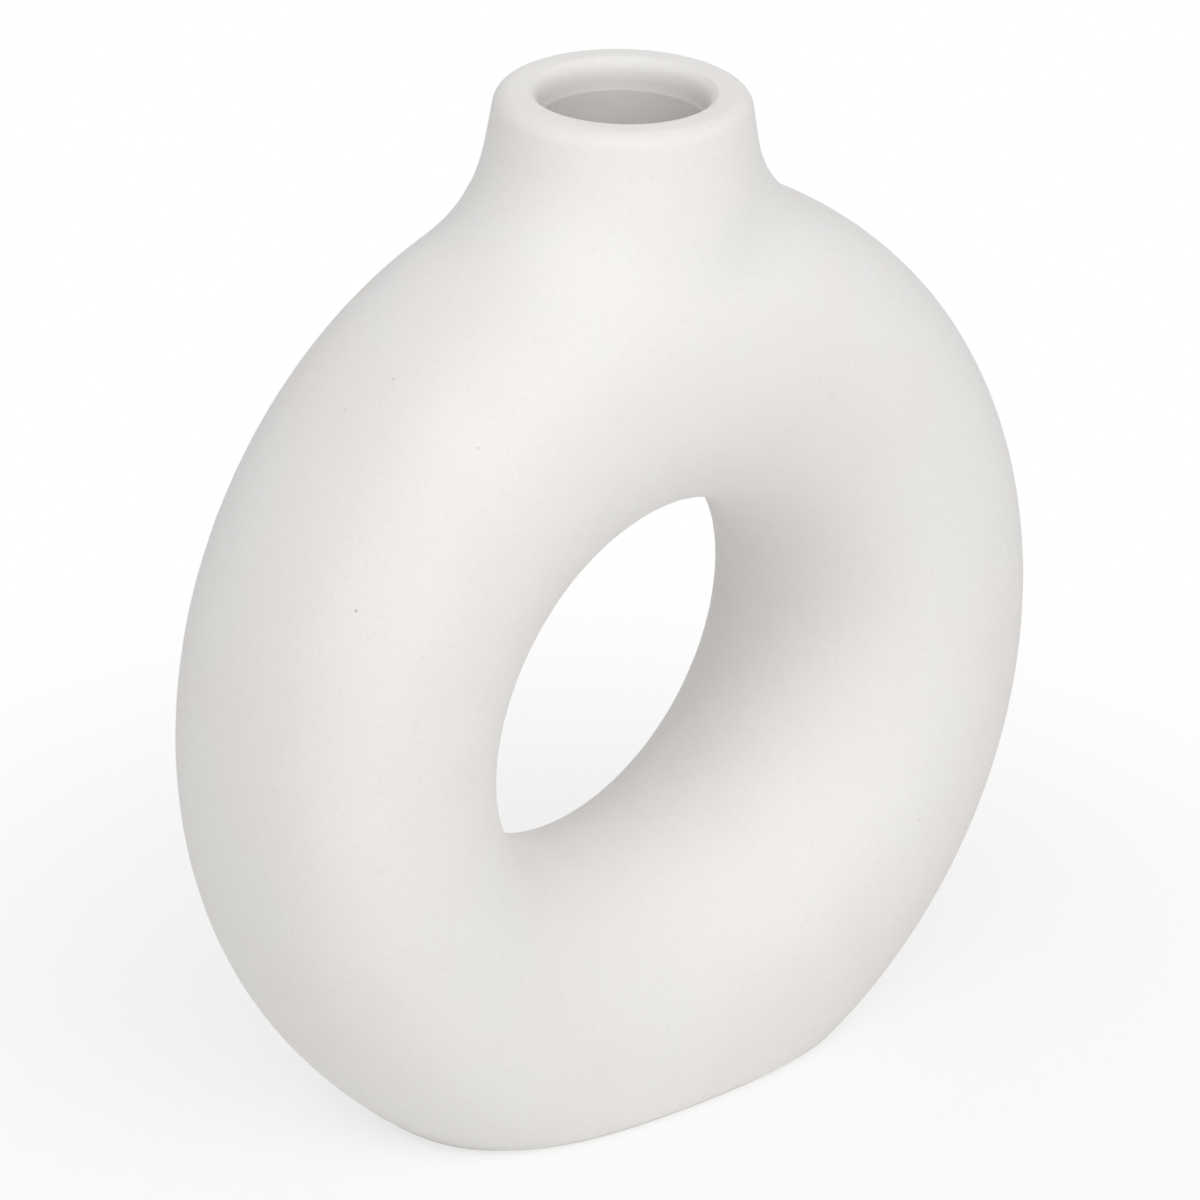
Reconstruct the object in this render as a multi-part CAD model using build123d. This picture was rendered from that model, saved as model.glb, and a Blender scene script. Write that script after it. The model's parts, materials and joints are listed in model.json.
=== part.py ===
"""Donut vase: a hollow ceramic ring standing on edge, with a flat foot, a short neck and a lip.

Millimetres. The origin is on the table under the middle of the vase and +Z is up. X runs across
the ring and Y runs along the axis of its hole, with the front at -Y.

The clay is two half rings, a foot slab and a neck collar, luted with slip. It is glazed inside and
outside, all but the foot that it stands on.
"""
from build123d import *
import os
from math import copysign, cos, hypot, radians, sin

# Outline of the ring and of its hole, two ovals about one centre
overall_height = 200.0
neck_height = 18.0
foot_cut_height = 18.4
ring_half_height = (overall_height - neck_height + foot_cut_height) / 2
ring_centre_height = ring_half_height - foot_cut_height
ring_half_width = 91.0
ring_half_depth = 33.5
hole_width_share = 0.4308
hole_height_share = 0.3683
hole_half_width = ring_half_width * hole_width_share
hole_half_height = ring_half_height * hole_height_share

# Power of the cosine and sine in the ring's section: 1 is an ellipse, less is fuller
outside_power_share = 0.85
hole_side_power_share = 0.97

# Neck and lip
neck_radius_share = 0.7045
neck_radius = ring_half_depth * neck_radius_share
neck_root_share = 0.9564
neck_root_radius = ring_half_depth * neck_root_share
neck_blend_share = 1.5556
neck_blend_radius = neck_height * neck_blend_share
bore_blend_share = 0.85
bore_blend_radius = ring_half_depth * bore_blend_share
lip_thickness = 7.8
lip_outer_rounding = 3.5
lip_inner_rounding = 2.4
lip_inner_depth = 3.6
lip_land = 2.6

# Wall, coats and joints
wall = 7.2
foot_thickness = 7.2
foot_edge_rounding = 0.5
bare_foot_height = 0.8
glaze_thickness = 0.4
mouth_glaze_depth = 5.8
slip_thickness = 0.8
collar_root_height = 3.5
neck_joint_height = overall_height - neck_height - collar_root_height

# Reach of the cutting blocks, past every side of the vase
cut_reach = 500.0

# How finely the ring's form is drawn
section_points = 16
section_step_deg = 24
arch_lap_deg = 30
quarter_turn_deg = 90
half_turn_deg = 180
full_turn_deg = 360


def block(low=None, high=None, axis="Z"):
    """Cutting block that keeps what lies above low, or below high, along Y or Z."""
    side = Align.MIN if high is None else Align.MAX
    place = low if high is None else high
    if axis == "Y":
        align = (Align.CENTER, side, Align.CENTER)
        return Pos(0, place, 0) * Box(cut_reach, cut_reach, cut_reach, align=align)
    align = (Align.CENTER, Align.CENTER, side)
    return Pos(0, 0, place) * Box(cut_reach, cut_reach, cut_reach, align=align)


def oval_radius(half_width, half_height, turn):
    """Distance from an oval's centre to its outline, at a turn in radians from +X."""
    return 1 / hypot(cos(turn) / half_width, sin(turn) / half_height)


def ring_section(turn_deg, inset):
    """Closed outline of the ring's section at a turn about the hole, moved inwards by the inset."""
    turn = radians(turn_deg)
    far = oval_radius(ring_half_width - inset, ring_half_height - inset, turn)
    near = oval_radius(hole_half_width + inset, hole_half_height + inset, turn)
    outward = Vector(cos(turn), 0, sin(turn))
    plane = Plane((0, 0, ring_centre_height), x_dir=outward, z_dir=outward.cross(Vector(0, 1, 0)))
    points = []
    for index in range(section_points):
        angle = radians(half_turn_deg + full_turn_deg * index / section_points)
        power = outside_power_share if cos(angle) > 0 else hole_side_power_share
        out = copysign(abs(cos(angle)) ** power, cos(angle)) * (far - near) / 2
        side = copysign(abs(sin(angle)) ** power, sin(angle)) * (ring_half_depth - inset)
        points.append(plane.from_local_coords(Vector((far + near) / 2 + out, side)))
    knots = [index / section_points for index in range(section_points + 1)]
    return Wire([Edge.make_spline(points, periodic=True, parameters=knots)])


def ring_form(inset):
    """The whole ring, solid, from an upper and a lower arch that are cut at the level of its centre."""
    arches = []
    for first_deg in (0, half_turn_deg):
        last_deg = first_deg + half_turn_deg
        turns = range(first_deg - arch_lap_deg, last_deg + arch_lap_deg + 1, section_step_deg)
        arches.append(Solid.make_loft([ring_section(turn, inset) for turn in turns]))
    upper, lower = arches
    return (upper & block(low=ring_centre_height)) + (lower & block(high=ring_centre_height))


def neck_root_height():
    """Height of the middle of the tube at the top of the ring, where the neck's form starts."""
    return ring_centre_height + (ring_half_height + hole_half_height) / 2


def neck_radius_at(height):
    """Radius of the neck's outside, which is a cone, at a height."""
    slope = (neck_root_radius - neck_radius) / (overall_height - neck_root_height())
    return neck_radius + slope * (overall_height - height)


def joined(ring, neck, blend_radius):
    """A ring and a neck as one form, with a round blend where they meet."""
    both = ring + neck
    return fillet(new_edges(ring, neck, combined=both), blend_radius)


def outside_form(inset, floor):
    """Outside of the vase, solid, moved inwards by the inset and cut flat at the floor."""
    root = neck_root_height()
    top = overall_height - inset
    root_radius = neck_radius_at(root) - inset
    top_radius = neck_radius_at(top) - inset
    profile = Polyline((0, root), (root_radius, root), (top_radius, top), (0, top), close=True)
    neck = revolve(Plane.XZ * make_face(profile), Axis.Z)
    form = joined(ring_form(inset), neck, neck_blend_radius + inset)
    form = fillet(top_face(form).edges(), lip_outer_rounding - inset)
    return form & block(low=floor)


def hollow_form(depth, floor):
    """Hollow of the vase, solid, with its mouth, to a depth in the inner coat and cut flat at the floor.

    The mouth is a rounded lip over a short straight land, and widens below it as the neck's outside does.
    """
    top = overall_height - depth
    root = neck_root_height()
    flare_foot = overall_height - lip_inner_depth
    land_foot = flare_foot - lip_land
    land_radius = neck_radius - lip_thickness + depth
    root_radius = land_radius + neck_radius_at(root) - neck_radius_at(land_foot)
    flare = lip_inner_rounding - depth
    flare_radius = land_radius + flare
    middle_side = [(flare_radius, top), (0, top), (0, root)]
    wall_side = [(root_radius, root), (land_radius, land_foot), (land_radius, flare_foot)]
    sides = Polyline(middle_side + wall_side)
    centre = (flare_radius, flare_foot)
    curve = EllipticalCenterArc(centre, flare, top - flare_foot, quarter_turn_deg, arc_size=quarter_turn_deg)
    bore = revolve(Plane.XZ * make_face([sides, curve]), Axis.Z)
    form = joined(ring_form(wall - depth), bore, bore_blend_radius - depth)
    return form & block(low=floor)


def flat_faces(form):
    """The flat faces of a form, from the lowest to the highest."""
    return form.faces().filter_by(GeomType.PLANE).sort_by(Axis.Z)


def top_face(form):
    """The highest flat face of a form."""
    return flat_faces(form)[-1]


def bottom_face(form):
    """The lowest flat face of a form."""
    return flat_faces(form)[0]


def faces_between(form, dropped):
    """All faces of a form but the dropped ones."""
    return [face for face in form.faces() if face not in dropped]


def washer(outer, inner):
    """Flat face between the rims of two flat faces at one level."""
    return (outer - inner).face()


def band(upper, lower):
    """Upright face between the rims of two round faces, one above the other."""
    return Face.make_surface_from_curves(upper.outer_wire().edge(), lower.outer_wire().edge())


def wall_solid(outside, hollow):
    """A closed vessel wall, from its outside, its hollow and the flat top of its lip."""
    lip_outside, lip_hollow = top_face(outside), top_face(hollow)
    faces = faces_between(outside, [lip_outside]) + faces_between(hollow, [lip_hollow])
    return Solid(Shell(faces + [washer(lip_outside, lip_hollow)]))


def outer_coat(outside, clay_outside):
    """The coat over the outside, open below, that ends on the top of the lip."""
    faces = []
    for form in (outside, clay_outside):
        faces += faces_between(form, [top_face(form), bottom_face(form)])
    faces.append(washer(bottom_face(outside), bottom_face(clay_outside)))
    faces.append(band(top_face(outside), top_face(clay_outside)))
    return Solid(Shell(faces))


def inner_coat(outside, clay_outside, hollow, clay_hollow):
    """The coat on the inside, from the top of the lip down the bore and all round the hollow."""
    faces = []
    for lip, form in ((outside, hollow), (clay_outside, clay_hollow)):
        faces += faces_between(form, [top_face(form)])
        faces.append(washer(top_face(lip), top_face(form)))
    faces.append(band(top_face(outside), top_face(clay_outside)))
    return Solid(Shell(faces))


def foot_pieces(clay):
    """The slab that closes the ring below, and the slip between it and the walls."""
    slab_top = foot_thickness - glaze_thickness
    slab = clay & block(high=slab_top)
    slab = fillet(bottom_face(slab).edges(), foot_edge_rounding)
    seam = clay & block(low=slab_top) & block(high=slab_top + slip_thickness)
    return {"foot_slab": slab, "foot_seam": seam}


def neck_pieces(clay):
    """The neck with its lip, and the slip between it and the ring."""
    seam_top = neck_joint_height + slip_thickness
    seam = clay & block(low=neck_joint_height) & block(high=seam_top)
    return {"neck_collar": clay & block(low=seam_top), "neck_seam": seam}


def ring_pieces(clay):
    """The two half rings, and the slip between them along the outside and round the hole."""
    foot_top = foot_thickness - glaze_thickness + slip_thickness
    ring = clay & block(low=foot_top) & block(high=neck_joint_height)
    half_slip = slip_thickness / 2
    slip = ring & Box(cut_reach, slip_thickness, cut_reach)
    left, hole = slip.solids().sort_by(Axis.X)[:2]
    return {
        "front_half_ring": ring & block(high=-half_slip, axis="Y"),
        "back_half_ring": ring & block(low=half_slip, axis="Y"),
        "left_rim_seam": left,
        "hole_seam": hole,
        "right_rim_seam": mirror(left, about=Plane.YZ),
    }


def main():
    """Build every piece and write each to its own file."""
    outside = outside_form(0, bare_foot_height)
    clay_outside = outside_form(glaze_thickness, 0)
    hollow = hollow_form(0, foot_thickness)
    clay_hollow = hollow_form(glaze_thickness, foot_thickness - glaze_thickness)

    clay = wall_solid(clay_outside, clay_hollow)
    pieces = foot_pieces(clay) | ring_pieces(clay) | neck_pieces(clay)
    pieces["outer_glaze"] = outer_coat(outside, clay_outside & block(low=bare_foot_height))
    lining = inner_coat(outside, clay_outside, hollow, clay_hollow)
    mouth_bottom = overall_height - mouth_glaze_depth
    pieces["mouth_glaze"] = lining & block(low=mouth_bottom)
    pieces["cavity_glaze"] = lining & block(high=mouth_bottom)

    os.makedirs("parts", exist_ok=True)
    for name, piece in pieces.items():
        export_step(piece.solid(), f"parts/{name}.step")


main()
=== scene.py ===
"""Donut vase, dressed for its photograph: matte off-white glaze over the frame's clay pieces.

Metres, in the frame's own axes: +Z is up, X runs across the ring and Y along the axis of its hole,
with the front at -Y.
"""

import json
import logging
import math
from dataclasses import dataclass
from enum import Enum
from typing import Callable, Mapping, Sequence, Union

import bpy
import numpy as np
from mathutils import Matrix, Vector
from mathutils.bvhtree import BVHTree


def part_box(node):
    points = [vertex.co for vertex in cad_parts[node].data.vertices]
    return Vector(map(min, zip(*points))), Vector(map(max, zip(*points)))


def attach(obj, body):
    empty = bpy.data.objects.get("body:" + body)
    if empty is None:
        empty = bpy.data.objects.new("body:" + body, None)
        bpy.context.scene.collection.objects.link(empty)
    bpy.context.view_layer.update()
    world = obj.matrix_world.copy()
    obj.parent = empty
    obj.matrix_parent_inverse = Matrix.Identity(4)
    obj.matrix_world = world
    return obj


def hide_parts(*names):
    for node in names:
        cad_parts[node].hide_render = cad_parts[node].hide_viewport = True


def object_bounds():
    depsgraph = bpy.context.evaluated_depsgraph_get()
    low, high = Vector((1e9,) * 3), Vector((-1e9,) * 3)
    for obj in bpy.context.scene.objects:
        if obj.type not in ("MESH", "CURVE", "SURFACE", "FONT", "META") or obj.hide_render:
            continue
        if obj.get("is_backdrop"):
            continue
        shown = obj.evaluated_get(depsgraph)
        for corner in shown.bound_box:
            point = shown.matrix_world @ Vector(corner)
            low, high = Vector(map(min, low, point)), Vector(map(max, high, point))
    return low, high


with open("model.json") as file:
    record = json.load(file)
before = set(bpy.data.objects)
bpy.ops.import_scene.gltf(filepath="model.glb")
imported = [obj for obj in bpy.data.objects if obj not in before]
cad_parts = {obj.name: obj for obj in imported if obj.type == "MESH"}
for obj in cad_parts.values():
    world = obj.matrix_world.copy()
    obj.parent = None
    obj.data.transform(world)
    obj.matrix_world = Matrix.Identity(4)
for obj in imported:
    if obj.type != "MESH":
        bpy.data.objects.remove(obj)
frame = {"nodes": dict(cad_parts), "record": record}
log = logging.getLogger("donut_vase")

MM = 0.001

# Quarters of a turn
QUARTERS = 4

# Middle value of a noise
NOISE_MEAN = 0.5

# The sRGB curve, from a level as it is seen to a linear value
SRGB_TOP = 255.0
SRGB_KNEE = 0.04045
SRGB_SLOPE = 12.92
SRGB_OFFSET = 0.055
SRGB_POWER = 2.4


class Slot(str, Enum):
    """Material slots of the frame's record."""

    CLAY = "clay"
    BARE_CLAY = "bare_clay"
    SLIP = "slip"
    MATTE_GLAZE = "matte_glaze"
    SATIN_GLAZE = "satin_glaze"


class MixSocket(int, Enum):
    """Places of the colour sockets on a Mix node."""

    FACTOR = 0
    FIRST = 6
    SECOND = 7
    RESULT = 2


@dataclass(frozen=True)
class Tint:
    """A colour as it is seen, in sRGB levels from 0 to 255."""

    red: float
    green: float
    blue: float

    def linear(self) -> tuple[float, float, float, float]:
        """Convert to the linear values that shader sockets take.

        Returns:
            Red, green, blue and an alpha of one.
        """
        levels = [channel / SRGB_TOP for channel in (self.red, self.green, self.blue)]
        low = [level / SRGB_SLOPE for level in levels]
        high = [((level + SRGB_OFFSET) / (1 + SRGB_OFFSET)) ** SRGB_POWER for level in levels]
        red, green, blue = [a if level <= SRGB_KNEE else b for level, a, b in zip(levels, low, high)]
        return red, green, blue, 1.0


class Socket:
    """An output of a shader node that can be used in sums like a number."""

    def __init__(self, shader: "Shader", output: bpy.types.NodeSocket) -> None:
        """Wrap an output.

        Args:
            shader: The node tree's builder.
            output: The socket to wrap.
        """
        self.shader = shader
        self.output = output

    def _sum(self, operation: str, first: "Operand", second: "Operand") -> "Socket":
        """Add a Math node.

        Args:
            operation: The Math node's operation.
            first: Its first value.
            second: Its second value.

        Returns:
            The node's result.
        """
        return self.shader.node("ShaderNodeMath", {"operation": operation}, {0: first, 1: second})

    def __add__(self, other: "Operand") -> "Socket":
        """Return self + other."""
        return self._sum("ADD", self, other)

    def __radd__(self, other: "Operand") -> "Socket":
        """Return other + self."""
        return self._sum("ADD", other, self)

    def __sub__(self, other: "Operand") -> "Socket":
        """Return self - other."""
        return self._sum("SUBTRACT", self, other)

    def __rsub__(self, other: "Operand") -> "Socket":
        """Return other - self."""
        return self._sum("SUBTRACT", other, self)

    def __mul__(self, other: "Operand") -> "Socket":
        """Return self * other."""
        return self._sum("MULTIPLY", self, other)

    def __rmul__(self, other: "Operand") -> "Socket":
        """Return other * self."""
        return self._sum("MULTIPLY", other, self)

    def either(self, other: "Operand") -> "Socket":
        """Return the larger of self and other."""
        return self._sum("MAXIMUM", self, other)

    def ramp(self, start: float, end: float, low: float = 0.0, high: float = 1.0) -> "Socket":
        """Ease from one value to another as this one goes from start to end.

        Args:
            start: Value of this socket at which the result is low.
            end: Value of this socket at which the result is high.
            low: First result.
            high: Last result.

        Returns:
            The eased value.
        """
        settings = {"interpolation_type": "SMOOTHSTEP"}
        sockets = dict(enumerate((self, start, end, low, high)))
        return self.shader.node("ShaderNodeMapRange", settings, sockets)


Operand = Union[Socket, float]


class Shader:
    """Builder of one node tree."""

    def __init__(self, tree: bpy.types.NodeTree) -> None:
        """Start with an empty tree.

        Args:
            tree: The tree to fill.
        """
        self.tree = tree
        tree.nodes.clear()

    def node(
        self,
        kind: str,
        settings: Mapping[str, object],
        inputs: Mapping[Union[int, str], object],
        output: Union[int, str] = 0,
    ) -> Socket:
        """Add any node.

        Args:
            kind: The node's type.
            settings: Properties of the node, set before its sockets.
            inputs: A value or a Socket for each input that is set.
            output: Which output to return.

        Returns:
            The output, or a Socket that holds no output where the node has none.
        """
        made = self.tree.nodes.new(kind)
        for name, value in settings.items():
            setattr(made, name, value)
        for key, value in inputs.items():
            if isinstance(value, Socket):
                self.tree.links.new(value.output, made.inputs[key])
            else:
                made.inputs[key].default_value = value
        return Socket(self, made.outputs[output] if made.outputs else None)

    def place(self) -> Socket:
        """Return the object coordinates, in metres."""
        return self.node("ShaderNodeTexCoord", {}, {}, "Object")

    def sight(self) -> Socket:
        """Return one for what the camera sees, also in a reflection or through glass, and else zero."""
        kinds = ("Is Camera Ray", "Is Glossy Ray", "Is Transmission Ray")
        camera, glossy, clear = (self.node("ShaderNodeLightPath", {}, {}, kind) for kind in kinds)
        return camera.either(glossy).either(clear)

    def noise(self, place: Socket, size: float, detail: float = 2.0, roughness: float = 0.5) -> Socket:
        """Add a noise about 0.5.

        Args:
            place: Coordinates.
            size: Width of its patches, in metres.
            detail: Number of finer layers.
            roughness: Weight of the finer layers.

        Returns:
            The noise.
        """
        sockets = {"Vector": place, "Scale": 1.0 / size, "Detail": detail, "Roughness": roughness}
        return self.node("ShaderNodeTexNoise", {}, sockets)

    def blend(self, factor: Operand, first: object, second: object) -> Socket:
        """Mix two colours.

        Args:
            factor: Share of the second colour.
            first: Colour at 0.
            second: Colour at 1.

        Returns:
            The mixed colour.
        """
        sockets = {
            MixSocket.FACTOR.value: factor,
            MixSocket.FIRST.value: first,
            MixSocket.SECOND.value: second,
        }
        return self.node("ShaderNodeMix", {"data_type": "RGBA"}, sockets, MixSocket.RESULT.value)

    def distance(self, place: Socket, point: Vector) -> Socket:
        """Measure how far the surface is from a point.

        Args:
            place: Coordinates.
            point: The point.

        Returns:
            The distance.
        """
        settings = {"operation": "DISTANCE"}
        return self.node("ShaderNodeVectorMath", settings, {0: place, 1: point}, "Value")

    def bump(self, height: Socket, depth: float) -> Socket:
        """Turn a height into a bent normal.

        Args:
            height: The height, in depths.
            depth: Depth of one, in metres.

        Returns:
            The normal.
        """
        sockets = {"Height": height, "Distance": depth, "Strength": 1.0}
        return self.node("ShaderNodeBump", {}, sockets, "Normal")

    def surface(self, **sockets: object) -> None:
        """Finish the tree with a Principled BSDF.

        Args:
            sockets: Values of its inputs, with underscores for spaces.
        """
        inputs = {name.replace("_", " "): value for name, value in sockets.items()}
        shade = self.node("ShaderNodeBsdfPrincipled", {}, inputs)
        self.node("ShaderNodeOutputMaterial", {}, {"Surface": shade})


def new_material(name: str, fill: Callable[[Shader], None]) -> bpy.types.Material:
    """Make a material with nodes.

    Args:
        name: The material's name.
        fill: What adds the nodes.

    Returns:
        The material.
    """
    material = bpy.data.materials.new(name)
    material.use_nodes = True
    fill(Shader(material.node_tree))
    return material


@dataclass(frozen=True)
class Fleck:
    """A dark fleck in the glaze, at its pixel in the photograph of 1200 by 1200 pixels."""

    column: float
    row: float
    radius: float
    strength: float


FLECKS: tuple[Fleck, ...] = (
    Fleck(356, 611, 0.34 * MM, 1.0),
    Fleck(393, 379, 0.3 * MM, 0.6),
    Fleck(345, 410, 0.26 * MM, 0.5),
    Fleck(478, 448, 0.32 * MM, 0.4),
    Fleck(919, 820, 0.32 * MM, 0.45),
    # This fleck darkens a dot at the bottom edge of the ring, just above the floor.
    Fleck(737, 1086, 0.4 * MM, 0.5),
    Fleck(634, 445, 0.26 * MM, 0.3),
    Fleck(791, 310, 0.26 * MM, 0.3),
    Fleck(832, 397, 1.3 * MM, 0.08),
    Fleck(923, 438, 0.26 * MM, 0.3),
    Fleck(324, 852, 0.26 * MM, 0.3),
    Fleck(462, 969, 0.26 * MM, 0.3),
    Fleck(571, 902, 0.26 * MM, 0.3),
)


@dataclass(frozen=True)
class MatteGlaze:
    """Matte off-white glaze with faint warm patches, fine grain, pinholes and flecks."""

    white: Tint = Tint(242, 240, 238)
    warm: Tint = Tint(241, 237, 234)
    pinhole: Tint = Tint(176, 166, 158)
    patch_size: float = 42 * MM
    patch_detail: float = 3.0
    patch_start: float = 0.42
    patch_end: float = 0.68
    grain_size: float = 0.9 * MM
    grain_detail: float = 3.0
    grain_weight: float = 0.6
    grain_depth: float = 0.012 * MM
    grain_reach: float = 0.3
    grain_shade: float = 0.1
    wave_size: float = 16 * MM
    wave_detail: float = 1.0
    wave_depth: float = 0.05 * MM
    pinhole_spacing: float = 21 * MM
    pinhole_radius: float = 0.42 * MM
    pinhole_share: float = 0.16
    pinhole_share_ease: float = 0.9
    pinhole_core: float = 0.35
    hole_shade: float = 0.75
    hole_depth: float = 0.12 * MM
    fleck_core: float = 0.3
    roughness: float = 0.62
    grain_roughness: float = 0.14
    wave_roughness: float = 0.08
    sheen_level: float = 0.32
    flecks: Sequence[tuple[Vector, Fleck]] = ()

    def material(self) -> bpy.types.Material:
        """Return the finish as a material."""
        return new_material("matte glaze", self._fill)

    def _fill(self, shader: Shader) -> None:
        """Add the nodes.

        Args:
            shader: The tree's builder.
        """
        place = shader.place()
        patches = shader.noise(place, self.patch_size, self.patch_detail)
        grain = shader.noise(place, self.grain_size, self.grain_detail, self.grain_weight)
        waves = shader.noise(place, self.wave_size, self.wave_detail)
        holes = self._pinholes(shader, place)
        for point, fleck in self.flecks:
            reach = shader.distance(place, point)
            holes = holes + reach.ramp(fleck.radius, self.fleck_core * fleck.radius) * fleck.strength
        specks = (grain - NOISE_MEAN).ramp(0.0, self.grain_reach) * self.grain_shade
        warmth = patches.ramp(self.patch_start, self.patch_end)
        colour = shader.blend(warmth, self.white.linear(), self.warm.linear())
        colour = shader.blend(specks, colour, self.pinhole.linear())
        colour = shader.blend(holes * self.hole_shade, colour, self.pinhole.linear())
        height = grain * self.grain_depth + waves * self.wave_depth - holes * self.hole_depth
        unevenness = (grain - NOISE_MEAN) * self.grain_roughness
        unevenness = unevenness + (waves - NOISE_MEAN) * self.wave_roughness
        shader.surface(
            Base_Color=colour,
            Roughness=self.roughness + unevenness,
            Specular_IOR_Level=self.sheen_level,
            Normal=shader.bump(height * (1 / MM), MM),
        )

    def _pinholes(self, shader: Shader, place: Socket) -> Socket:
        """Scatter pinholes over the surface.

        Args:
            shader: The tree's builder.
            place: Coordinates.

        Returns:
            One in a pinhole and zero elsewhere.
        """
        sockets = {"Vector": place, "Scale": 1.0 / self.pinhole_spacing, "Randomness": 1.0}
        settings = {"feature": "F1", "voronoi_dimensions": "3D"}
        reach = shader.node("ShaderNodeTexVoronoi", settings, sockets, "Distance")
        shade = shader.node("ShaderNodeTexVoronoi", settings, sockets, "Color")
        draw = shader.node("ShaderNodeSeparateColor", {}, {0: shade}, "Red")
        radius = self.pinhole_radius / self.pinhole_spacing
        chosen = draw.ramp(self.pinhole_share, self.pinhole_share * self.pinhole_share_ease)
        return reach.ramp(radius, radius * self.pinhole_core) * chosen


@dataclass(frozen=True)
class PlainCeramic:
    """Fired ceramic with a grain: clay, bare foot, slip or the satin lining."""

    name: str
    light: Tint
    dark: Tint
    roughness: float
    grain_size: float = 0.7 * MM
    patch_size: float = 24 * MM
    grain_depth: float = 0.02 * MM
    sheen_level: float = 0.3
    grain_detail: float = 4.0
    grain_weight: float = 0.65
    grain_start: float = 0.45
    grain_end: float = 0.75
    grain_share: float = 0.4
    grain_roughness: float = 0.15
    patch_detail: float = 3.0
    patch_start: float = 0.35
    patch_end: float = 0.7
    patch_share: float = 0.6

    def material(self) -> bpy.types.Material:
        """Return the finish as a material."""
        return new_material(self.name, self._fill)

    def _fill(self, shader: Shader) -> None:
        """Add the nodes.

        Args:
            shader: The tree's builder.
        """
        place = shader.place()
        grain = shader.noise(place, self.grain_size, self.grain_detail, self.grain_weight)
        patches = shader.noise(place, self.patch_size, self.patch_detail)
        share = patches.ramp(self.patch_start, self.patch_end) * self.patch_share
        share = share + grain.ramp(self.grain_start, self.grain_end) * self.grain_share
        shader.surface(
            Base_Color=shader.blend(share, self.light.linear(), self.dark.linear()),
            Roughness=self.roughness + (grain - NOISE_MEAN) * self.grain_roughness,
            Specular_IOR_Level=self.sheen_level,
            Normal=shader.bump(grain * (self.grain_depth / MM), MM),
        )


FINISHES: dict[Slot, PlainCeramic] = {
    Slot.CLAY: PlainCeramic("fired clay", Tint(226, 221, 214), Tint(206, 199, 190), 0.8),
    Slot.BARE_CLAY: PlainCeramic("bare foot clay", Tint(228, 223, 217), Tint(205, 197, 187), 0.85),
    Slot.SLIP: PlainCeramic("luting slip", Tint(219, 213, 205), Tint(199, 191, 181), 0.82, 0.4 * MM),
    Slot.SATIN_GLAZE: PlainCeramic(
        "satin lining", Tint(243, 241, 239), Tint(240, 237, 234), 0.5, 1.2 * MM, 30 * MM, 0.008 * MM, 0.4
    ),
}


def select_only(piece: bpy.types.Object) -> None:
    """Make a piece the only selected and active one.

    Args:
        piece: The piece.
    """
    bpy.ops.object.select_all(action="DESELECT")
    piece.select_set(True)
    bpy.context.view_layer.objects.active = piece


def apply_modifier(piece: bpy.types.Object, kind: str, **settings: object) -> None:
    """Add a modifier and apply it.

    Args:
        piece: The piece that gets it.
        kind: The modifier's type.
        settings: Its properties.
    """
    select_only(piece)
    bpy.ops.object.modifier_add(type=kind)
    modifier = piece.modifiers[-1]
    for name, value in settings.items():
        setattr(modifier, name, value)
    bpy.ops.object.modifier_apply(modifier=modifier.name)


def read_points(piece: bpy.types.Object) -> np.ndarray:
    """Read the vertices of a piece.

    Args:
        piece: The piece.

    Returns:
        One row of X, Y and Z for each vertex.
    """
    points = np.empty(len(piece.data.vertices) * 3)
    piece.data.vertices.foreach_get("co", points)
    return points.reshape(-1, 3)


def write_points(piece: bpy.types.Object, points: np.ndarray) -> None:
    """Move the vertices of a piece.

    Args:
        piece: The piece.
        points: One row of X, Y and Z for each vertex.
    """
    piece.data.vertices.foreach_set("co", points.ravel())
    piece.data.update()


class OuterFace:
    """The outer side of the frame's glaze coat, which the dressed glaze follows."""

    rim_ease: float = 0.01 * MM

    def __init__(self, node: str, crown: float, middle: float, tube_share: float) -> None:
        """Collect the triangles that face away from the clay, without the flat rim above the foot.

        Args:
            node: Name of the coat's CAD node.
            crown: Height above which the coat belongs to the neck.
            middle: Height of the ring's centre.
            tube_share: Radius of the middle of the tube, as a share of the ring's half height.
        """
        mesh = frame["nodes"][node].data
        mesh.calc_loop_triangles()
        points = np.array([vertex.co[:] for vertex in mesh.vertices])
        corners = np.array([triangle.vertices[:] for triangle in mesh.loop_triangles])
        first, second, third = (points[corners[:, index]] for index in range(3))
        facing = np.cross(second - first, third - first)
        centres = (first + second + third) / 3
        tall, wide = tube_share * (crown - middle), tube_share * points[:, 0].max()
        inner = self._core(centres, crown, middle, tall, wide)
        outward = np.einsum("ij,ij->i", facing, centres - inner) > 0
        kept = outward & (centres[:, 2] > points[:, 2].min() + self.rim_ease)
        self.tree = BVHTree.FromPolygons(points.tolist(), corners[kept].tolist())

    @staticmethod
    def _core(centres: np.ndarray, crown: float, middle: float, tall: float, wide: float) -> np.ndarray:
        """Find a point deep inside the clay for each point of the coat.

        Args:
            centres: Points of the coat.
            crown: Height above which they belong to the neck.
            middle: Height of the ring's centre.
            tall: Half height of the oval along the middle of the tube.
            wide: Half width of that oval.

        Returns:
            The inner points.
        """
        turn = np.arctan2(centres[:, 2] - middle, centres[:, 0])
        radius = 1 / np.hypot(np.cos(turn) / wide, np.sin(turn) / tall)
        tube = np.stack([radius * np.cos(turn), 0 * turn, middle + radius * np.sin(turn)], axis=1)
        axis = np.stack([0 * turn, 0 * turn, centres[:, 2]], axis=1)
        return np.where((centres[:, 2] > crown)[:, None], axis, tube)

    def nearest(self, points: np.ndarray) -> np.ndarray:
        """Find the nearest place on the coat to each point.

        Args:
            points: The points.

        Returns:
            The places.
        """
        return np.array([self.tree.find_nearest(Vector(point))[0][:] for point in points])


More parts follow.
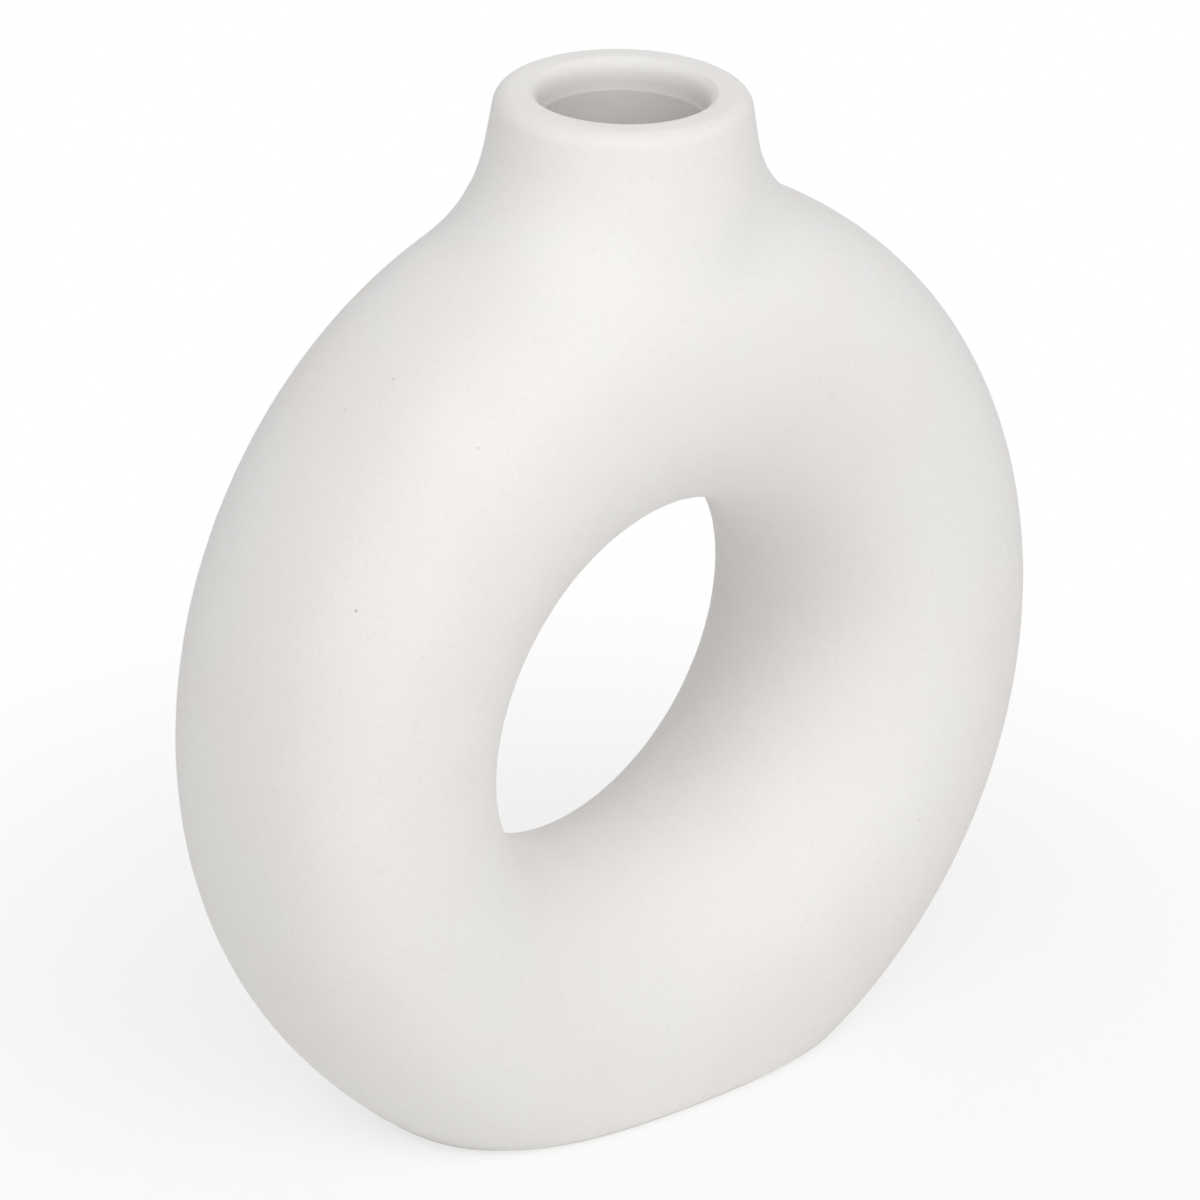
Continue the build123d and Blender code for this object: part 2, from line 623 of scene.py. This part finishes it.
class Cage:
    """A mesh of four-sided faces whose smooth limit surface is fitted to a form."""

    def __init__(self, piece: bpy.types.Object) -> None:
        """Read how the cage's vertices hang together.

        Args:
            piece: The cage.
        """
        self.piece = piece
        self.points = read_points(piece)
        uses: dict[tuple[int, int], int] = {}
        across: list[tuple[int, int]] = []
        for face in piece.data.polygons:
            corners = list(face.vertices)
            for index, corner in enumerate(corners):
                across.append((corner, corners[index - 2]))
                key = (min(corner, corners[index - 1]), max(corner, corners[index - 1]))
                uses[key] = uses.get(key, 0) + 1
        self.rim = np.zeros(len(self.points), dtype=bool)
        for key, faces in uses.items():
            if faces == 1:
                self.rim[list(key)] = True
        self.edges = self._links([(key, faces == 1) for key, faces in uses.items()])
        self.across = np.array([pair for pair in across if not self.rim[pair[0]]])
        self.valence = np.bincount(self.edges[:, 0], minlength=len(self.points))

    def _links(self, uses: Sequence[tuple[tuple[int, int], bool]]) -> np.ndarray:
        """List the neighbours of each vertex; a vertex on an open edge has only those along it.

        Args:
            uses: Each edge, and whether it is open.

        Returns:
            Pairs of a vertex and its neighbour.
        """
        pairs = []
        for (first, second), is_open in uses:
            if is_open or not self.rim[first]:
                pairs.append((first, second))
            if is_open or not self.rim[second]:
                pairs.append((second, first))
        return np.array(pairs)

    def _gather(self, pairs: np.ndarray, points: np.ndarray) -> np.ndarray:
        """Add up the points that each vertex is paired with.

        Args:
            pairs: Pairs of a vertex and another.
            points: A point for each vertex.

        Returns:
            The sums.
        """
        owners, others = pairs.T
        columns = [np.bincount(owners, points[others, axis], minlength=len(points)) for axis in range(3)]
        return np.stack(columns, axis=1)

    def limit(self) -> np.ndarray:
        """Return where the vertices come to lie on the smooth limit surface of four-sided faces."""
        along = self._gather(self.edges, self.points)
        valence = self.valence[:, None]
        inside = valence**2 * self.points + 4 * along + self._gather(self.across, self.points)
        inside /= valence * (valence + 5)
        return np.where(self.rim[:, None], (4 * self.points + along) / 6, inside)

    def relax(
        self, form: OuterFace, fixed: np.ndarray, foot: np.ndarray, foot_level: float, rounds: int
    ) -> None:
        """Spread the vertices evenly over the form.

        Args:
            form: The form to stay on.
            fixed: Which vertices stay where they are.
            foot: Which vertices stay on the foot's outline.
            foot_level: Height of that outline.
            rounds: How often to repeat.
        """
        loose = ~fixed
        for _ in range(rounds):
            moved = (self.points + self._gather(self.edges, self.points) / self.valence[:, None]) / 2
            self.points[loose] = form.nearest(moved[loose])
            self.points[foot, 2] = foot_level

    def fit(self, wanted: np.ndarray, rounds: int) -> None:
        """Swell the cage until its limit surface runs through the wanted points.

        Args:
            wanted: Where each vertex should come to lie.
            rounds: How often to repeat.
        """
        for _ in range(rounds):
            self.points += wanted - self.limit()
        write_points(self.piece, self.points)

    def draw_in(
        self, form: OuterFace, fixed: np.ndarray, foot_level: float, passes: int, rounds: int
    ) -> None:
        """Bring a finer cage back to the form where it strays from it.

        Args:
            form: The form to lie on.
            fixed: Which vertices are right as they are.
            foot_level: Height of the open edge of the foot.
            passes: How often to measure the stray.
            rounds: How often to repeat each fit.
        """
        loose = ~fixed
        foot = self.rim & loose
        for _ in range(passes):
            lying = self.limit()
            stray = np.zeros_like(lying)
            stray[loose] = form.nearest(lying[loose]) - lying[loose]
            stray = (stray + self._gather(self.edges, stray) / self.valence[:, None]) / 2
            stray[fixed] = 0
            wanted = lying + stray
            wanted[foot, 2] = foot_level
            self.fit(wanted, rounds)


@dataclass
class GlazeSkin:
    """The glaze over the outside, the lip and the mouth, in one unbroken coat."""

    turn_steps: int = 72
    section_steps: int = 32
    hole_share: float = 0.42
    tube_share: float = 0.71
    crown_turn_steps: int = 5
    crown_section_steps: int = 5
    foot_turn_steps: int = 6
    foot_section_steps: int = 5
    neck_rows: int = 8
    neck_radius: float = 23.6 * MM
    neck_slope: float = 0.17
    lip_thickness: float = 7.8 * MM
    lip_outer_rounding: float = 3.5 * MM
    lip_inner_rounding: float = 2.4 * MM
    lip_inner_depth: float = 3.6 * MM
    crest_ease: float = 0.03 * MM
    arc_rows: int = 5
    land_rows: int = 2
    coat: float = 0.3 * MM
    relax_rounds: int = 120
    fit_rounds: int = 20
    draw_passes: int = 4
    levels: int = 1
    limit_quality: int = 4
    smooth_deg: float = 50

    def __post_init__(self) -> None:
        """Take the overall sizes from the frame."""
        self.low, self.high = (np.array(corner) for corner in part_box("outer_glaze"))
        mouth_low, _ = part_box("mouth_glaze")
        self.mouth_foot = mouth_low[2]
        self.lip_top = self.high[2] - self.crest_ease
        hole_low, hole_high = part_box("hole_seam")
        self.middle = (hole_low[2] + hole_high[2]) / 2
        self.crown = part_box("neck_seam")[0][2]

    def build(self) -> bpy.types.Object:
        """Model the coat.

        Returns:
            The finished piece.
        """
        self._add_ring()
        self._open_foot()
        rows = self._draw_neck()
        cage = Cage(self.piece)
        fixed = np.zeros(len(cage.points), dtype=bool)
        fixed[rows] = True
        form = OuterFace("outer_glaze", self.crown, self.middle, self.tube_share)
        cage.relax(form, fixed, cage.rim & ~fixed, self.low[2], self.relax_rounds)
        cage.fit(cage.points.copy(), self.fit_rounds)
        self._divide(on_limit=False)
        finer = Cage(self.piece)
        finer.draw_in(form, self._is_lip(finer.points), self.low[2], self.draw_passes, self.fit_rounds)
        self._divide(on_limit=True)
        self._thicken()
        return self.piece

    def _is_lip(self, points: np.ndarray) -> np.ndarray:
        """Tell which points belong to the lip and the bore, whose form is set by their rows.

        Args:
            points: The points.

        Returns:
            True for each such point.
        """
        radius = np.hypot(points[:, 0], points[:, 1])
        in_lip = points[:, 2] > self.lip_top - 2 * self.lip_outer_rounding
        in_bore = (radius < self.neck_radius - self.lip_thickness / 2) & (points[:, 2] > self.crown)
        return in_lip | in_bore

    def _divide(self, on_limit: bool) -> None:
        """Divide the cage's faces by the rule of the smooth limit surface.

        Args:
            on_limit: Whether the vertices move onto that surface.
        """
        apply_modifier(
            self.piece,
            "SUBSURF",
            levels=self.levels,
            render_levels=self.levels,
            quality=self.limit_quality,
            use_limit_surface=on_limit,
        )

    def _add_ring(self) -> None:
        """Add the ring as a torus pulled to the frame's width, depth and height."""
        bpy.ops.object.select_all(action="DESELECT")
        outer = self.high[0]
        tube = outer * (1 - self.hole_share) / 2
        bpy.ops.mesh.primitive_torus_add(
            location=(0, 0, self.middle),
            rotation=(math.pi / 2, 0, 0),
            major_segments=self.turn_steps,
            minor_segments=self.section_steps,
            major_radius=outer - tube,
            minor_radius=tube,
        )
        self.piece = bpy.context.object
        self.piece.name = "glaze_skin"
        self.piece.scale = (1, (self.crown - self.middle) / outer, self.high[1] / tube)
        bpy.ops.object.transform_apply(location=True, rotation=True, scale=True)

    def _drop_patch(self, turn: int, turn_reach: int, section_reach: int) -> None:
        """Delete a patch of faces on the outer side of the ring.

        Args:
            turn: Step of the patch's middle, counted round the ring.
            turn_reach: Half its length, in steps round the ring.
            section_reach: Half its width, in steps round the section.
        """
        wanted = set()
        for step in range(turn - turn_reach, turn + turn_reach + 1):
            for row in range(-section_reach, section_reach + 1):
                wanted.add(step % self.turn_steps * self.section_steps + row % self.section_steps)
        self._pick(wanted)
        bpy.ops.mesh.select_mode(type="FACE")
        bpy.ops.mesh.delete(type="FACE")
        bpy.ops.object.mode_set(mode="OBJECT")

    def _pick(self, wanted: set[int]) -> None:
        """Go into edit mode with only some vertices selected.

        Args:
            wanted: The vertices.
        """
        select_only(self.piece)
        bpy.ops.object.mode_set(mode="EDIT")
        bpy.ops.mesh.select_mode(type="VERT")
        bpy.ops.mesh.select_all(action="DESELECT")
        bpy.ops.object.mode_set(mode="OBJECT")
        for vertex in self.piece.data.vertices:
            vertex.select = vertex.index in wanted
        bpy.ops.object.mode_set(mode="EDIT")
        bpy.ops.mesh.select_mode(type="VERT")

    def _lip_profile(self) -> list[tuple[float, float]]:
        """Work out the lip, from the side of the neck over the top and down the bore.

        Returns:
            Radius and height of each row.
        """
        lean = math.atan(self.neck_slope)
        outer, inner, deep = self.lip_outer_rounding, self.lip_inner_rounding, self.lip_inner_depth
        centre = self.neck_radius + self.neck_slope * outer - outer / math.cos(lean)
        rows = []
        for index in range(self.arc_rows):
            angle = lean + (math.pi / 2 - lean) * index / (self.arc_rows - 1)
            height = self.lip_top - outer + outer * math.sin(angle)
            rows.append((centre + outer * math.cos(angle), height))
        land = self.neck_radius - self.lip_thickness
        start = self.lip_top - deep
        for index in range(self.arc_rows):
            angle = math.pi / 2 * index / (self.arc_rows - 1)
            rows.append((land + inner - inner * math.sin(angle), start + deep * math.cos(angle)))
        for index in range(1, self.land_rows + 1):
            rows.append((land, start + (self.mouth_foot - start) * index / self.land_rows))
        return rows

    def _draw_neck(self) -> np.ndarray:
        """Open the crown and draw the neck, the lip and the bore out of the opening, row by row.

        Returns:
            The vertices of the lip and the bore.
        """
        crown_step = self.turn_steps // QUARTERS
        self._drop_patch(crown_step, self.crown_turn_steps, self.crown_section_steps)
        self._pick(set())
        bpy.ops.mesh.select_non_manifold(
            use_wire=False, use_multi_face=False, use_non_contiguous=False, use_verts=False
        )
        bpy.ops.object.mode_set(mode="OBJECT")
        vertices = self.piece.data.vertices
        self._pick({vertex.index for vertex in vertices if vertex.select and vertex.co.z > self.middle})
        lip = self._lip_profile()
        start = self.crown
        rows = []
        for index in range(1, self.neck_rows + 1):
            height = start + (lip[0][1] - start) * index / (self.neck_rows + 1)
            rows.append((self.neck_radius + self.neck_slope * (self.lip_top - height), height))
        fixed: list[int] = []
        for index, (radius, height) in enumerate(rows + lip):
            row = self._raise_row(radius, height)
            if index >= len(rows):
                fixed.extend(row)
        bpy.ops.object.mode_set(mode="OBJECT")
        return np.array(fixed)

    def _raise_row(self, radius: float, height: float) -> list[int]:
        """Extrude the selected loop to a circle.

        Args:
            radius: The circle's radius.
            height: The circle's height.

        Returns:
            The new vertices.
        """
        bpy.ops.mesh.extrude_region_move()
        bpy.ops.object.mode_set(mode="OBJECT")
        row = [vertex.index for vertex in self.piece.data.vertices if vertex.select]
        angles = {}
        for index in row:
            place = self.piece.data.vertices[index].co
            angles[index] = math.atan2(place.y, place.x)
        order = sorted(row, key=lambda index: angles[index])
        offset = min(range(len(order)), key=lambda step: abs(angles[order[step]]))
        for step, index in enumerate(order):
            angle = 2 * math.pi * (step - offset) / len(order)
            place = (radius * math.cos(angle), radius * math.sin(angle), height)
            self.piece.data.vertices[index].co = place
        bpy.ops.object.mode_set(mode="EDIT")
        return row

    def _open_foot(self) -> None:
        """Open the ring where it stands, above the bare rim of the foot."""
        foot_step = self.turn_steps * 3 // QUARTERS
        self._drop_patch(foot_step, self.foot_turn_steps, self.foot_section_steps)

    def _thicken(self) -> None:
        """Give the coat its thickness."""
        apply_modifier(self.piece, "SOLIDIFY", thickness=self.coat, offset=-1.0, use_even_offset=True)
        select_only(self.piece)
        bpy.ops.object.shade_smooth_by_angle(angle=math.radians(self.smooth_deg))

    def seen_at(self, eye: Vector, ray: Vector) -> Vector:
        """Find where a line of sight meets the coat.

        Args:
            eye: Where it starts.
            ray: Its direction.

        Returns:
            The place.
        """
        return self.piece.ray_cast(eye, ray)[1]

    def dress(self, finish: MatteGlaze) -> None:
        """Give the coat its finish and tie it to the frame.

        Args:
            finish: The glaze.
        """
        self.piece.data.materials.clear()
        self.piece.data.materials.append(finish.material())
        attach(self.piece, "root")
        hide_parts("outer_glaze", "mouth_glaze")


class FramePieces:
    """The clay, the slip and the lining, which are seen as they are in the frame."""

    def dress(self, finishes: Mapping[Slot, PlainCeramic]) -> list[str]:
        """Give each node the finish of its slot.

        Args:
            finishes: The finish of each slot.

        Returns:
            Names of the dressed nodes.
        """
        materials = {slot.value: finish.material() for slot, finish in finishes.items()}
        dressed = []
        for entry in frame["record"]["subparts"]:
            if entry["material_slot"] in materials:
                node = frame["nodes"][entry["node"]]
                node.data.materials.clear()
                node.data.materials.append(materials[entry["material_slot"]])
                dressed.append(entry["node"])
        return dressed


def direction(azimuth_deg: float, elevation_deg: float) -> Vector:
    """Point from the vase to something round it.

    Args:
        azimuth_deg: Turn about the upright axis, from the front.
        elevation_deg: Rise above the table.

    Returns:
        The direction, one long.
    """
    azimuth, elevation = math.radians(azimuth_deg), math.radians(elevation_deg)
    level = Vector((math.sin(azimuth), -math.cos(azimuth), 0)) * math.cos(elevation)
    return level + Vector((0, 0, math.sin(elevation)))


@dataclass
class Viewpoint:
    """The camera of the photograph."""

    azimuth_deg: float = -39.8196
    elevation_deg: float = 25.2351
    distance: float = 1181.25 * MM
    pan_deg: float = -0.1054
    tilt_deg: float = -0.1719
    roll_deg: float = 1.3565
    lens_mm: float = 185.96
    sensor_mm: float = 36.0
    target_height: float = 100 * MM
    clip_start: float = 10 * MM
    photo_pixels: int = 1200

    def __post_init__(self) -> None:
        """Work out where the camera stands and how it is turned."""
        pan, tilt, roll = (math.radians(angle) for angle in (self.pan_deg, self.tilt_deg, self.roll_deg))
        back = direction(self.azimuth_deg, self.elevation_deg)
        self.eye = Vector((0, 0, self.target_height)) + back * self.distance
        right = (-back).cross(Vector((0, 0, 1))).normalized()
        up = right.cross(-back)
        level = right * math.sin(pan) - back * math.cos(pan)
        self.ahead = level * math.cos(tilt) + up * math.sin(tilt)
        right = self.ahead.cross(up).normalized()
        up = right.cross(self.ahead)
        self.right = right * math.cos(roll) + up * math.sin(roll)
        self.up = up * math.cos(roll) - right * math.sin(roll)

    def ray(self, column: float, row: float) -> Vector:
        """Return the direction in which the camera sees a pixel of the photograph.

        Args:
            column: Pixels from the left edge.
            row: Pixels from the top edge.

        Returns:
            The direction.
        """
        reach = self.photo_pixels * self.lens_mm / self.sensor_mm
        middle = self.photo_pixels / 2
        return self.ahead + self.right * ((column - middle) / reach) + self.up * ((middle - row) / reach)

    def build(self) -> bpy.types.Object:
        """Set the camera up.

        Returns:
            The camera.
        """
        data = bpy.data.cameras.new("photo camera")
        data.sensor_fit = "HORIZONTAL"
        data.sensor_width = self.sensor_mm
        data.lens = self.lens_mm
        data.clip_start = self.clip_start
        camera = bpy.data.objects.new("photo camera", data)
        bpy.context.scene.collection.objects.link(camera)
        turn = Matrix((self.right, self.up, -self.ahead)).transposed()
        camera.matrix_world = Matrix.Translation(self.eye) @ turn.to_4x4()
        bpy.context.scene.camera = camera
        return camera


@dataclass(frozen=True)
class Lamp:
    """One soft box."""

    name: str
    azimuth_deg: float
    elevation_deg: float
    watts: float
    tint: Tint = Tint(255, 255, 255)
    distance: float = 1.6
    width: float = 1.0

    def build(self, target: Vector) -> bpy.types.Object:
        """Hang the soft box so that it faces the vase.

        Args:
            target: Where it points.

        Returns:
            The lamp.
        """
        away = direction(self.azimuth_deg, self.elevation_deg)
        data = bpy.data.lights.new(self.name, "AREA")
        data.shape = "SQUARE"
        data.size = self.width
        data.energy = self.watts
        data.color = self.tint.linear()[:3]
        lamp = bpy.data.objects.new(self.name, data)
        bpy.context.scene.collection.objects.link(lamp)
        lamp.location = target + away * self.distance
        lamp.rotation_euler = away.to_track_quat("Z", "Y").to_euler()
        return lamp


@dataclass
class Studio:
    """Pale floor, white backdrop and soft light."""

    floor_reach: float = 3.0
    floor_gap: float = 0.1 * MM
    floor_light: Tint = Tint(247, 247, 246)
    floor_dark: Tint = Tint(244, 244, 243)
    floor_patch_size: float = 50 * MM
    floor_patch_share: float = 0.1
    floor_roughness: float = 0.9
    floor_sheen_level: float = 0.1
    lamp_target_height: float = 100 * MM
    white_share: float = 0.7
    fade_start: float = 0.06
    fade_end: float = 0.24
    sky_strength: float = 0.38
    lamps: Sequence[Lamp] = (
        Lamp("left soft box", -85, 45, 3.45),
        Lamp("key soft box", -40, 45, 6.5),
        Lamp("fill soft box", 5, 45, 6.2),
        Lamp("low soft box", 5, 12, 0.6),
        Lamp("right soft box", 85, 30, 1.0),
        Lamp("back soft box", 150, 40, 1.2, Tint(255, 247, 240)),
    )

    def build(self) -> None:
        """Set up the floor, the backdrop and the lamps."""
        self._floor()
        self._backdrop()
        for lamp in self.lamps:
            lamp.build(Vector((0, 0, self.lamp_target_height)))
        bpy.context.scene.view_settings.view_transform = "Standard"

    def _floor(self) -> None:
        """Lay the floor, which turns into the white backdrop away from the vase."""
        bpy.ops.object.select_all(action="DESELECT")
        bpy.ops.mesh.primitive_plane_add(size=2 * self.floor_reach, location=(0, 0, -self.floor_gap))
        floor = bpy.context.object
        floor.name = "studio_floor"
        bpy.ops.object.transform_apply(location=True, rotation=True, scale=True)
        floor.data.materials.append(new_material("pale floor", self._floor_nodes))
        floor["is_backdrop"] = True

    def _floor_nodes(self, shader: Shader) -> None:
        """Add the floor's nodes.

        Args:
            shader: The tree's builder.
        """
        place = shader.place()
        patches = shader.noise(place, self.floor_patch_size) * self.floor_patch_share
        inputs = {
            "Base Color": shader.blend(patches, self.floor_light.linear(), self.floor_dark.linear()),
            "Roughness": self.floor_roughness,
            "Specular IOR Level": self.floor_sheen_level,
        }
        matte = shader.node("ShaderNodeBsdfPrincipled", {}, inputs)
        white = shader.node("ShaderNodeEmission", {}, {"Color": (1, 1, 1, 1), "Strength": 1.0})
        away = shader.distance(place, Vector((0, 0, 0)))
        fade = away.ramp(self.fade_start, self.fade_end, self.white_share, 1.0) * shader.sight()
        mixed = shader.node("ShaderNodeMixShader", {}, {0: fade, 1: matte, 2: white})
        shader.node("ShaderNodeOutputMaterial", {}, {"Surface": mixed})

    def _backdrop(self) -> None:
        """Make the world white to the camera and a soft sky to the vase."""
        world = bpy.data.worlds.new("studio")
        bpy.context.scene.world = world
        world.use_nodes = True
        shader = Shader(world.node_tree)
        strength = shader.sight() * (1 - self.sky_strength) + self.sky_strength
        light = shader.node("ShaderNodeBackground", {}, {"Color": (1, 1, 1, 1), "Strength": strength})
        shader.node("ShaderNodeOutputWorld", {}, {"Surface": light})


def main() -> None:
    """Build and dress the vase, then light it and set up the camera."""
    logging.basicConfig(level=logging.INFO, format="%(message)s")
    cad_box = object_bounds()
    viewpoint = Viewpoint()
    skin = GlazeSkin()
    piece = skin.build()
    places = [skin.seen_at(viewpoint.eye, viewpoint.ray(fleck.column, fleck.row)) for fleck in FLECKS]
    skin.dress(MatteGlaze(flecks=tuple(zip(places, FLECKS))))
    log.info("glaze skin: %d faces", len(piece.data.polygons))
    log.info("frame nodes dressed: %s", ", ".join(FramePieces().dress(FINISHES)))
    Studio().build()
    viewpoint.build()
    boxes = {"cad": cad_box, "final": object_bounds()}
    for name, box in boxes.items():
        log.info("%s box in mm: %s", name, [[round(value / MM, 2) for value in corner] for corner in box])


if __name__ == "__main__":
    main()
